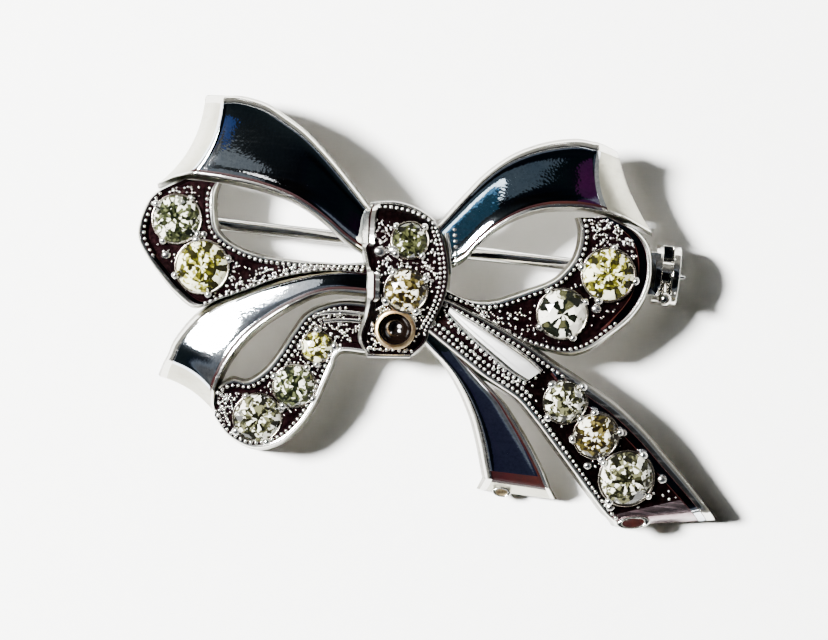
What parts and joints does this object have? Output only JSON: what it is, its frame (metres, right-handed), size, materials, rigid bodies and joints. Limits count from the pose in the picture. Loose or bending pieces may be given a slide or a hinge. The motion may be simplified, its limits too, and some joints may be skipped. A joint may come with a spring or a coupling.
{
  "type": "bow brooch",
  "caption": "Cast ribbon bow brooch with set round stones, a hinged pin stem on the back and a C-shaped catch with a turning lock.",
  "frame": {"origin": "under the middle of the whole brooch's box, on the surface that it lies on", "axes": "+X along the pin from its hinge to its catch, +Y across it towards the upper loops, +Z out of the brooch's face"},
  "size_m": [0.0444, 0.028, 0.0079],
  "materials": {
    "casting": "polished plate, dark tarnish in the recesses",
    "pin_steel": "drawn and lightly polished",
    "findings": "plated, worn satin",
    "stone": "faceted clear glass, aged to pale yellow-green"
  },
  "bodies": {
    "bow": {"bow_casting": "casting", "hinge_bracket": "findings", "hinge_rivet": "findings", "catch_hook": "findings", "stone_left_1": "stone", "stone_left_2": "stone", "stone_lower_1": "stone", "stone_lower_2": "stone", "stone_lower_3": "stone", "stone_knot_1": "stone", "stone_knot_2": "stone", "stone_right_1": "stone", "stone_right_2": "stone", "stone_tail_1": "stone", "stone_tail_2": "stone", "stone_tail_3": "stone"},
    "stem": {"pin_stem": "pin_steel"},
    "lock": {"catch_lock": "findings"}
  },
  "joints": [
    {"name": "pin_swing", "type": "hinge", "parent": "bow", "child": "stem", "pos_m": [-0.01725, 0.00463, 0.00212], "axis": [0, 1, 0], "range_deg": [0, 80]},
    {"name": "lock_turn", "type": "hinge", "parent": "bow", "child": "lock", "pos_m": [0.01627, 0.00463, 0.00212], "axis": [-1, 0, 0], "range_deg": [0, 100]}
  ]
}
